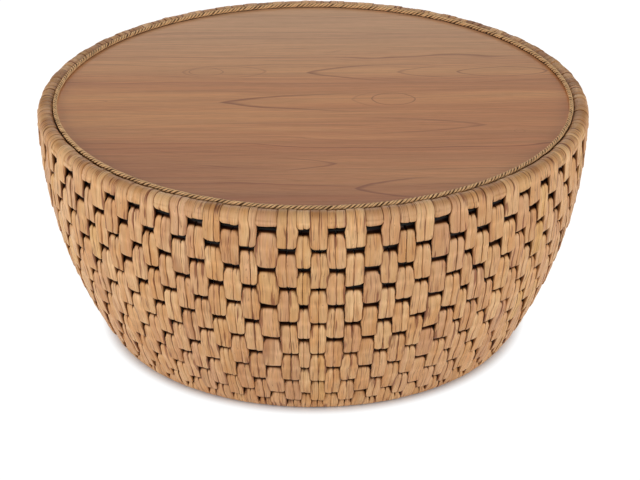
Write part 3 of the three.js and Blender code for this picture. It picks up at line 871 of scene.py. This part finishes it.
class Graph:
    """Adds nodes to one node tree and links them."""

    def __init__(self, tree):
        self.tree = tree

    def feed(self, socket, value):
        if isinstance(value, bpy.types.NodeSocket):
            self.tree.links.new(value, socket)
        else:
            socket.default_value = value

    def node(self, kind, inputs=None, **settings):
        made = self.tree.nodes.new(kind)
        for key, value in settings.items():
            setattr(made, key, value)
        for key, value in (inputs or {}).items():
            self.feed(made.inputs[key], value)
        return made

    def surface(self, inputs):
        shader = self.tree.nodes["Principled BSDF"]
        for label, value in inputs.items():
            self.feed(shader.inputs[label], value)

    def math(self, operation, *values):
        return self.node("ShaderNodeMath", dict(enumerate(values)), operation=operation).outputs[0]

    def times(self, first, *others):
        for other in others:
            first = self.math("MULTIPLY", first, other)
        return first

    def total(self, *parts):
        """The sum of values, each times its weight."""
        total = 0.0
        for value, weight in parts:
            total = self.math("MULTIPLY_ADD", value, weight, total)
        return total

    def mix(self, share, first, second, blend="MIX"):
        inputs = {0: share, 6: first, 7: second}
        made = self.node("ShaderNodeMix", inputs, data_type="RGBA", blend_type=blend)
        return made.outputs[2]

    def shaded(self, base, bright):
        """The colour made brighter or darker by a value."""
        return self.mix(1.0, base, self.join(bright, bright, bright), blend="MULTIPLY")

    def band(self, value, low, high, start=0.0, end=1.0):
        """Maps low to start and high to end, smoothly, and holds past them."""
        inputs = {"Value": value, 1: low, 2: high, 3: start, 4: end}
        made = self.node("ShaderNodeMapRange", inputs, interpolation_type="SMOOTHSTEP")
        return made.outputs[0]

    def stretch(self, place, *scales):
        inputs = {0: place, 1: scales}
        return self.node("ShaderNodeVectorMath", inputs, operation="MULTIPLY").outputs[0]

    def noise(self, place, scales, detail=3.0, roughness=0.5, distortion=0.0):
        """Noise that is finer along an axis with a higher scale."""
        inputs = {"Vector": self.stretch(place, *scales), "Scale": 1.0, "Detail": detail}
        inputs.update({"Roughness": roughness, "Distortion": distortion})
        return self.node("ShaderNodeTexNoise", inputs, noise_dimensions="3D").outputs[0]

    def random(self, seed):
        return self.node("ShaderNodeTexWhiteNoise", {"W": seed}, noise_dimensions="1D").outputs

    def place(self):
        return self.node("ShaderNodeTexCoord").outputs["Object"]

    def attribute(self, name):
        return self.node("ShaderNodeAttribute", attribute_name=name).outputs["Vector"]

    def split(self, place):
        return self.node("ShaderNodeSeparateXYZ", {0: place}).outputs

    def join(self, x, y, z):
        return self.node("ShaderNodeCombineXYZ", {0: x, 1: y, 2: z}).outputs[0]

    def group(self, tree, **inputs):
        made = self.node("ShaderNodeGroup", node_tree=tree)
        for key, value in inputs.items():
            self.feed(made.inputs[key.replace("_", " ").capitalize()], value)
        return made.outputs

    def bump(self, height, strength, distance):
        inputs = {"Height": height, "Strength": strength, "Distance": distance}
        return self.node("ShaderNodeBump", inputs).outputs[0]


def make_group(name, inputs, build):
    """A node group, whose function gives its outputs. Inputs are given with their usual
    values. The input for a place has none."""
    if name in bpy.data.node_groups:
        return bpy.data.node_groups[name]
    tree = bpy.data.node_groups.new(name, "ShaderNodeTree")
    for label, default in inputs.items():
        kind = "NodeSocketVector" if default is None else "NodeSocketFloat"
        socket = tree.interface.new_socket(label, in_out="INPUT", socket_type=kind)
        if default is not None:
            socket.default_value = default
    graph = Graph(tree)
    values = build(graph, graph.node("NodeGroupInput").outputs)
    for label in values:
        tree.interface.new_socket(label, in_out="OUTPUT", socket_type="NodeSocketFloat")
    graph.node("NodeGroupOutput", values)
    return tree


def new_material(name):
    """A material and the graph of its nodes."""
    material = bpy.data.materials.new(name)
    material.use_nodes = True
    return material, Graph(material.node_tree)


def fibre_group():
    """Dry plant fibre: fine lines along it, broader streaks and patches."""

    def build(graph, source):
        place = source["Place"]
        lines = graph.noise(place, (1300, 26, 1), detail=4, roughness=0.6)
        lines = graph.band(lines, 0.34, 0.66)
        streaks = graph.noise(place, (330, 11, 1.7), roughness=0.55)
        cracks = graph.band(graph.noise(place, (430, 24, 4.1), detail=1), 0.6, 0.7)
        return {
            "Lines": lines,
            "Streaks": streaks,
            "Patches": graph.noise(place, (60, 17, 2.3), detail=2),
            "Cracks": cracks,
            "Height": graph.total((lines, 0.5), (streaks, 0.7), (cracks, -0.7)),
        }

    return make_group("plant_fibre", {"Place": None}, build)


def strand_tones(graph, strand_number):
    """A tone and three further values for a float. Part of each is shared by the strands
    of its column there, and part by the whole column."""
    seed = graph.math("ROUND", graph.times(strand_number, FLOATS_PER_STRAND))
    half_strand = FLOATS_PER_STRAND / 2
    one_column = STRANDS_PER_COLUMN * FLOATS_PER_STRAND
    column = graph.math("DIVIDE", graph.math("ADD", seed, half_strand), one_column)
    column = graph.math("FLOOR", column)
    index = graph.math("MODULO", seed, FLOATS_PER_STRAND)
    own = graph.random(seed)
    shared = graph.random(graph.math("MULTIPLY_ADD", column, FLOATS_PER_STRAND, index))
    steady = graph.random(graph.math("ADD", column, 0.5))
    tone = graph.total((shared["Value"], 0.45), (own["Value"], 0.2), (steady["Value"], 0.35))
    drift = graph.mix(0.65, own["Color"], shared["Color"])
    return tone, graph.split(graph.mix(0.35, drift, steady["Color"]))


def strand_material(wall):
    material, graph = new_material("dry_strand")
    place = graph.attribute("strand_place")
    # The strand's edge, its share of painted shade, and its painted highlight and fold shade.
    edge, sunk, head = graph.split(graph.attribute("strand_form_and_shading"))
    tone, drift = strand_tones(graph, graph.split(place)[2])
    fibre = graph.group(fibre_group(), place=place)

    patch = graph.math("SUBTRACT", fibre["Patches"], 0.12)
    patch = graph.math("MULTIPLY_ADD", tone, 0.25, patch)
    base = graph.mix(graph.band(patch, 0.28, 0.72), wall.straw, wall.pale)
    greyness = graph.total((fibre["Streaks"], 0.7), (drift[1], 0.3))
    base = graph.mix(graph.band(greyness, 0.36, 0.72, 0, 0.75), base, wall.grey)
    base = graph.mix(graph.band(drift[2], 0.6, 0.95, 0, 0.5), base, wall.gold)
    rusty = graph.noise(place, (210, 19, 3.1), detail=2)
    rusty = graph.math("MULTIPLY_ADD", edge, 0.12, rusty)
    base = graph.mix(graph.band(rusty, 0.645, 0.75, 0, 0.8), base, wall.rust)
    stain = graph.band(graph.noise(place, (120, 9, 5.9)), 0.44, 0.6)
    stain = graph.times(stain, graph.band(drift[0], 0.68, 0.86), 0.5)
    base = graph.mix(stain, base, wall.rust)
    flecks = graph.noise(place, (420, 95, 7.3), detail=1)
    base = graph.mix(graph.band(flecks, 0.7, 0.78, 0, 0.55), base, wall.rust)
    base = graph.mix(graph.times(fibre["Cracks"], 0.44), base, wall.rust)

    # Painted shade along the strands' edges, in patches, for the crevices between strands.
    patchy_edge_shade = graph.band(graph.noise(place, (40, 30, 5.3), detail=2), 0.4, 0.62)
    patchy_edge_shade = graph.times(patchy_edge_shade, graph.band(edge, 0.8, 0.97))
    bright = graph.math("MULTIPLY_ADD", tone, 0.25, 0.945)
    folded = graph.band(head, -0.8, 0, 0.55, 0)
    bright = graph.math("MULTIPLY_ADD", graph.math("SUBTRACT", tone, 0.5), folded, bright)
    bright = graph.times(
        bright,
        graph.band(fibre["Lines"], 0, 1, 0.84, 1.06),
        graph.band(fibre["Streaks"], 0.25, 0.75, 0.9, 1.08),
        # Painted shade where the strand dives, on its inner faces, inside the fold and under the
        # base ring.
        graph.band(sunk, 0, 1, 1.0, 0.05),
        # Painted shade at the strands' edges, darker at the very edge.
        graph.band(patchy_edge_shade, 0, 1, 0.97, 0.54),
        graph.band(edge, 0.78, 1.0, 1.0, 0.8),
    )
    # Painted highlight on the top of each float, and painted shade over the fold.
    bright = graph.math("MULTIPLY_ADD", head, 0.13, bright)
    # Darker tones turn redder, the painted shade among them.
    green, blue = graph.math("POWER", bright, 1.3), graph.math("POWER", bright, 1.7)
    graph.surface({
        "Base Color": graph.mix(1.0, base, graph.join(bright, green, blue), blend="MULTIPLY"),
        "Roughness": graph.band(fibre["Streaks"], 0.2, 0.8, 0.46, 0.62),
        "Specular IOR Level": 0.45,
        "Normal": graph.bump(fibre["Height"], 0.55, 0.5 * MM),
    })
    return material


def cord_material(settings):
    material, graph = new_material("twisted_fibre")
    fibre = graph.group(fibre_group(), place=graph.attribute("strand_place"))
    # Painted shade in the grooves between the plies, together with the fibres' own streaks, mixes
    # towards the shade colour.
    groove = graph.split(graph.attribute("strand_form_and_shading"))[0]
    groove = graph.band(groove, 0.2, 0.68, 0, 0.95)
    fibre_streaks_and_groove_shade = graph.total((fibre["Streaks"], 0.6), (fibre["Lines"], 0.45), (groove, -1.0))
    graph.surface({
        "Base Color": graph.mix(graph.band(fibre_streaks_and_groove_shade, -0.2, 0.65), settings.shade, settings.straw),
        "Roughness": graph.band(fibre["Streaks"], 0.2, 0.8, 0.55, 0.75),
        "Specular IOR Level": 0.3,
        "Normal": graph.bump(fibre["Height"], 0.7, 0.5 * MM),
    })
    return material


def loop_group():
    """A growth line that closes on itself: soft inside, sharp outside, and shown whole or
    at one end."""

    def build(graph, source):
        u = graph.math("SUBTRACT", source["Along"], source["Centre along"])
        u = graph.math("DIVIDE", u, source["Length"])
        v = graph.math("SUBTRACT", source["Across"], source["Centre across"])
        v = graph.math("ABSOLUTE", graph.math("DIVIDE", v, source["Width"]))
        v = graph.math("POWER", v, source["Point"])
        far = graph.math("SQRT", graph.math("MULTIPLY_ADD", u, u, v))
        whole = graph.math("COMPARE", source["End"], 0.0, 0.5)
        shown = graph.band(graph.times(u, source["End"]), 0.1, 0.75)
        shown = graph.math("MAXIMUM", shown, whole)
        line = graph.times(graph.band(far, 0.9, 0.985), graph.band(far, 0.99, 1.02, 1, 0))
        return {
            "Line": graph.times(line, shown, source["Strength"]),
            "Inside": graph.times(graph.band(far, 0.95, 1.3, 1, 0), shown),
        }

    inputs = dict.fromkeys(["Along", "Across", "Centre along", "Centre across", "End"], 0.0)
    inputs.update({"Length": 0.1, "Width": 0.02, "Strength": 0.5, "Point": 2.0})
    return make_group("growth_loop", inputs, build)


def wood_group():
    """Flat-sawn wood: growth lines from a height that rises across the grain."""

    def build(graph, source):
        place = source["Place"]
        slow = graph.math("SUBTRACT", graph.noise(place, (1.9, 9, 1), detail=2), 0.5)
        wave = graph.math("SUBTRACT", graph.noise(place, (9, 40, 1), detail=2), 0.5)
        rise = graph.total((slow, 0.1), (wave, 0.007))
        height = graph.math("ADD", graph.split(place)[1], rise)
        count = graph.math("DIVIDE", height, source["Spacing"])
        part = graph.math("FRACT", count)
        strong = graph.random(graph.math("FLOOR", count))["Value"]
        strong = graph.math("POWER", strong, 1.8)
        line = graph.times(graph.band(part, 0.86, 0.98), graph.band(part, 0.985, 1.0, 1, 0))
        bands = graph.band(graph.noise(place, (1.1, 17, 1), detail=4), 0.36, 0.66, 0, 0.75)
        late = graph.times(graph.band(part, 0.15, 0.95), strong)
        thin = graph.math("FRACT", graph.times(count, 3.7))
        return {
            "Line": graph.times(line, strong),
            "Late": graph.math("MULTIPLY_ADD", late, 0.4, bands),
            "Thin": graph.times(graph.band(thin, 0.7, 0.95), graph.band(thin, 0.97, 1.0, 1, 0)),
            "Pores": graph.noise(place, (55, 900, 1)),
            "Haze": graph.noise(place, (5, 130, 1), detail=4),
        }

    return make_group("flat_sawn_wood", {"Place": None, "Spacing": 0.017}, build)


def veneer_material(settings):
    material, graph = new_material("wood_veneer")
    place = graph.place()
    along, across, _ = graph.split(place)
    swayed = graph.math("SUBTRACT", across, 0.008)
    swayed = graph.math("MULTIPLY_ADD", graph.noise(place, (7, 22, 1)), 0.016, swayed)
    lines, insides = 0.0, 0.0
    for centre_along, centre_across, reach, width, strength, end in GROWTH_LOOPS:
        loop = graph.group(
            loop_group(),
            along=along,
            across=swayed,
            centre_along=centre_along * MM,
            centre_across=centre_across * MM,
            length=reach * MM,
            width=width * MM,
            strength=strength,
            end=float(end),
            point=1.7 if end == 0 else 1.35,
        )
        lines = graph.math("MAXIMUM", loop["Line"], lines)
        insides = graph.math("MAXIMUM", loop["Inside"], insides)
    wood = graph.group(wood_group(), place=place, spacing=settings.spacing)
    straight = graph.times(wood["Line"], 0.75, graph.math("SUBTRACT", 1.0, insides))
    marks = graph.times(graph.math("MAXIMUM", straight, lines), 0.7)
    slant = graph.math("MULTIPLY_ADD", along, 0.3, across)
    base = graph.mix(wood["Late"], settings.early, settings.late)
    # Painted sheen, paler and greyer towards the far edge.
    base = graph.mix(graph.band(across, -0.05, 0.42, 0, 0.85), base, settings.painted_far_sheen)
    # Painted shade, darker and redder towards the near edge, less so to the right.
    base = graph.mix(graph.band(slant, -0.42, -0.14, 0.5, 0), base, settings.painted_near_shade)
    base = graph.mix(graph.times(wood["Thin"], 0.14), base, settings.line)
    base = graph.mix(marks, base, settings.line)
    haze = graph.band(wood["Haze"], 0.32, 0.68, 0.9, 1.06)
    bright = graph.times(haze, graph.band(wood["Pores"], 0.3, 0.62, 0.93, 1.02))
    graph.surface({
        "Base Color": graph.shaded(base, bright),
        "Roughness": graph.band(wood["Pores"], 0.3, 0.7, 0.46, 0.38),
        "Specular IOR Level": 0.12,
        "Normal": graph.bump(wood["Pores"], 0.12, 0.2 * MM),
    })
    return material


def bar_material(settings):
    material, graph = new_material("sawn_wood")
    place = graph.stretch(graph.place(), 1, 1, 6)
    wood = graph.group(wood_group(), place=place, spacing=9 * MM)
    base = graph.mix(wood["Late"], settings.bar, settings.late)
    base = graph.mix(graph.times(wood["Line"], 0.7), base, settings.line)
    graph.surface({
        "Base Color": graph.shaded(base, graph.band(wood["Pores"], 0.3, 0.7, 0.85, 1.05)),
        "Roughness": graph.band(wood["Pores"], 0.3, 0.7, 0.8, 0.66),
        "Normal": graph.bump(wood["Pores"], 0.4, 0.4 * MM),
    })
    return material


def scuff_group():
    """Handling wear: fine scratches and a slow unevenness."""

    def build(graph, source):
        place = source["Place"]
        scratches = graph.noise(place, (300, 45, 300), distortion=1.2)
        return {
            "Uneven": graph.noise(place, (38, 38, 38), detail=4),
            "Specks": graph.noise(place, (900, 900, 900), detail=2),
            "Worn": graph.band(scratches, 0.62, 0.72),
        }

    return make_group("handling_scuff", {"Place": None}, build)


def worn_material(name, base_colour, worn_colour, roughness, metallic, grain=0.3):
    """A hard finish with light wear: lacquered iron, zinc plate or moulded nylon."""
    material, graph = new_material(name)
    scuff = graph.group(scuff_group(), place=graph.place())
    base = graph.mix(graph.times(scuff["Worn"], 0.35), base_colour, worn_colour)
    rough = graph.band(scuff["Uneven"], 0.25, 0.75, roughness - 0.07, roughness + 0.1)
    graph.surface({
        "Base Color": graph.shaded(base, graph.band(scuff["Uneven"], 0.3, 0.7, 0.86, 1.1)),
        "Roughness": rough,
        "Metallic": metallic,
        "Specular IOR Level": 0.2,
        "Normal": graph.bump(scuff["Specks"], grain, 0.15 * MM),
    })
    return material


def floor_material(settings):
    """White for the camera and for reflections, with the table's shadow kept in it."""
    material, graph = new_material("studio_floor")
    graph.tree.nodes.clear()
    path = graph.node("ShaderNodeLightPath").outputs
    seen = graph.math("MAXIMUM", path["Is Camera Ray"], path["Is Glossy Ray"])
    seen = graph.math("MAXIMUM", seen, path["Is Transmission Ray"])
    off_axis = graph.node("ShaderNodeVectorMath", {0: graph.place()}, operation="LENGTH")
    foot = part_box("base_ring")[1].x
    open_floor = graph.band(off_axis.outputs["Value"], foot, foot + SHADOW_REACH)
    share = graph.times(seen, open_floor, 0.93)
    matt = graph.node("ShaderNodeBsdfDiffuse", {"Color": settings.floor}).outputs[0]
    glow = graph.node("ShaderNodeEmission", {"Color": (1, 1, 1, 1), "Strength": 1.1}).outputs[0]
    mixed = graph.node("ShaderNodeMixShader", {0: share, 1: matt, 2: glow}).outputs[0]
    graph.node("ShaderNodeOutputMaterial", {"Surface": mixed})
    return material


def white_world():
    """Soft white light all round, white for the camera."""
    world = bpy.data.worlds.new("studio_white")
    world.use_nodes = True
    graph = Graph(world.node_tree)
    graph.tree.nodes.clear()
    path = graph.node("ShaderNodeLightPath").outputs
    seen = graph.math("MAXIMUM", path["Is Camera Ray"], path["Is Transmission Ray"])
    soft = graph.node("ShaderNodeBackground", {"Color": (1, 0.98, 0.96, 1), "Strength": 0.27})
    white = graph.node("ShaderNodeBackground", {"Color": (1, 1, 1, 1), "Strength": 1.0})
    inputs = {0: seen, 1: soft.outputs[0], 2: white.outputs[0]}
    mixed = graph.node("ShaderNodeMixShader", inputs).outputs[0]
    graph.node("ShaderNodeOutputWorld", {"Surface": mixed})
    return world


# Stage

def aim(thing, place, target):
    thing.location = place
    thing.rotation_euler = (Vector(target) - Vector(place)).to_track_quat("-Z", "Y").to_euler()


def soft_lamp(name, place, target_level, size, power):
    lamp = bpy.data.lights.new(name, "AREA")
    lamp.shape = "RECTANGLE"
    lamp.size, lamp.size_y = size
    lamp.energy = power
    holder = bpy.data.objects.new(name, lamp)
    bpy.context.scene.collection.objects.link(holder)
    aim(holder, place, (0, 0, target_level))
    return holder


def photo_camera(settings):
    elevation, bearing = math.radians(settings.elevation), math.radians(settings.bearing)
    away = Vector(around(math.cos(elevation), math.sin(elevation), bearing))
    target = Vector((0, 0, settings.target_level))
    lens = bpy.data.cameras.new("photo_camera")
    lens.sensor_fit = "HORIZONTAL"
    lens.sensor_width = 36
    lens.lens = settings.lens
    lens.shift_x, lens.shift_y = (shift / PHOTO_WIDTH_PX for shift in CAMERA_SHIFT_PX)
    lens.clip_end = 50
    camera = bpy.data.objects.new("photo_camera", lens)
    bpy.context.scene.collection.objects.link(camera)
    aim(camera, target + away * settings.distance, target)
    bpy.context.scene.camera = camera


class DRUM_OT_weave_wall(bpy.types.Operator):
    """Weave the eight wall panels, strand by strand"""

    bl_idname = "drum.weave_wall"
    bl_label = "Weave the wall"

    def execute(self, context):
        wall = context.scene.drum_wall
        section = Section(context.scene)
        rng = np.random.default_rng(wall.seed)
        borders = Borders(rng, section, wall.zigzag)
        material = strand_material(wall)
        for panel in range(PANELS):
            weave_panel(panel, section, borders, wall.strand_thickness, rng, material)
        return {"FINISHED"}


class DRUM_OT_bend_hoops(bpy.types.Operator):
    """Bend the hoop rods, the rim tube, the base ring and the ribs"""

    bl_idname = "drum.bend_hoops"
    bl_label = "Bend the iron frame"

    def execute(self, context):
        hoops, settings = context.scene.drum_hoops, context.scene.drum_frame
        section = Section(context.scene)
        rng = np.random.default_rng(IRON_SEED)
        iron = worn_material("black_iron", settings.iron, tint(26, 23, 20), 0.6, 0.0)
        for row, drop in enumerate(section.row_drops):
            name = f"hoop_{row + 1:02d}"
            radius, level = section.on_wall(drop, hoops.depth)
            rod_ring(f"rod_{name}", radius, level, hoops.rod_radius, iron, name, rng)
        tube = (section.rim_radius, section.wide_level, RIM_TUBE_RADIUS)
        rod_ring("round_rim_tube", *tube, iron, "rim_tube", rng)
        make_base_ring(iron)
        for index in range(PANELS):
            make_rib(index, section, settings, hoops, rng, iron)
        return {"FINISHED"}


class DRUM_OT_lay_cord(bpy.types.Operator):
    """Twist the cord and lay it round the top"""

    bl_idname = "drum.lay_cord"
    bl_label = "Lay the edge cord"

    def execute(self, context):
        settings = context.scene.drum_cord
        make_cord(settings, cord_material(settings))
        return {"FINISHED"}


class DRUM_OT_finish_top(bpy.types.Operator):
    """Veneer the top and make the bars under it"""

    bl_idname = "drum.finish_top"
    bl_label = "Finish the top"

    def execute(self, context):
        settings = context.scene.drum_top
        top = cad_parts["top_panel"]
        for slot in top.material_slots:
            slot.material = veneer_material(settings)
        sawn = bar_material(settings)
        for name in ("top_bar_long", "top_bar_back", "top_bar_front"):
            make_bar(name, sawn)
        return {"FINISHED"}


class DRUM_OT_fit_hardware(bpy.types.Operator):
    """Drive the screws and fit the glides"""

    bl_idname = "drum.fit_hardware"
    bl_label = "Fit screws and glides"

    def execute(self, context):
        settings = context.scene.drum_frame
        zinc = worn_material("zinc_plate", settings.zinc, tint(120, 120, 116), 0.34, 1.0, 0.1)
        nylon = worn_material("moulded_nylon", settings.nylon, tint(70, 70, 72), 0.5, 0.0, 0.15)
        for name in sorted(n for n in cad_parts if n.startswith("top_screw")):
            make_screw(name, zinc)
        for index in range(PANELS):
            make_glide(index, nylon)
        return {"FINISHED"}


class DRUM_OT_set_studio(bpy.types.Operator):
    """Set up the floor, the soft light and the camera"""

    bl_idname = "drum.set_studio"
    bl_label = "Set up the studio"

    def execute(self, context):
        scene = context.scene
        mesh = bpy.data.meshes.new("studio_floor")
        corners = [(x * FLOOR_REACH, y * FLOOR_REACH, 0) for x, y in FLOOR_CORNERS]
        mesh.from_pydata(corners, [], [(0, 1, 2, 3)])
        mesh.materials.append(floor_material(scene.drum_studio))
        floor = bpy.data.objects.new("studio_floor", mesh)
        scene.collection.objects.link(floor)
        scene.world = white_world()
        soft_lamp("left_box", (-3.3, -2.23, 1.25), 0.2, (1.8, 1.8), 75)
        soft_lamp("right_box", (3.28, -2.38, 1.25), 0.2, (1.8, 1.8), 70)
        soft_lamp("back_box", (0, 1.5, 1.6), 0.4, (1.8, 1.0), 7)
        gloss = soft_lamp("gloss_box", (0.2, 3.2, 2.0), 0.35, (3.4, 0.8), 14)
        gloss.visible_diffuse = False
        photo_camera(scene.drum_studio)
        scene.view_settings.view_transform = "Standard"
        return {"FINISHED"}


class DRUM_PT_pieces(bpy.types.Panel):
    """Lists the steps that build the table"""

    bl_label = "Woven drum table"
    bl_idname = "DRUM_PT_pieces"
    bl_space_type = "VIEW_3D"
    bl_region_type = "UI"
    bl_category = "Drum table"

    def draw(self, context):
        for operator in OPERATORS:
            self.layout.operator(operator.bl_idname)
        for name in SETTINGS:
            settings = getattr(context.scene, name)
            box = self.layout.box()
            for key in settings.__annotations__:
                box.prop(settings, key)


OPERATORS = [
    DRUM_OT_weave_wall,
    DRUM_OT_bend_hoops,
    DRUM_OT_lay_cord,
    DRUM_OT_finish_top,
    DRUM_OT_fit_hardware,
    DRUM_OT_set_studio,
]


def register():
    for settings in SETTINGS.values():
        bpy.utils.register_class(settings)
    for name, settings in SETTINGS.items():
        setattr(bpy.types.Scene, name, PointerProperty(type=settings))
    for operator in OPERATORS:
        bpy.utils.register_class(operator)
    bpy.utils.register_class(DRUM_PT_pieces)


def unregister():
    bpy.utils.unregister_class(DRUM_PT_pieces)
    for operator in reversed(OPERATORS):
        bpy.utils.unregister_class(operator)
    for name, settings in SETTINGS.items():
        delattr(bpy.types.Scene, name)
        bpy.utils.unregister_class(settings)


def main():
    register()
    bpy.ops.drum.set_studio()
    bpy.ops.drum.weave_wall()
    bpy.ops.drum.bend_hoops()
    bpy.ops.drum.lay_cord()
    bpy.ops.drum.finish_top()
    bpy.ops.drum.fit_hardware()


if __name__ == "__main__":
    main()
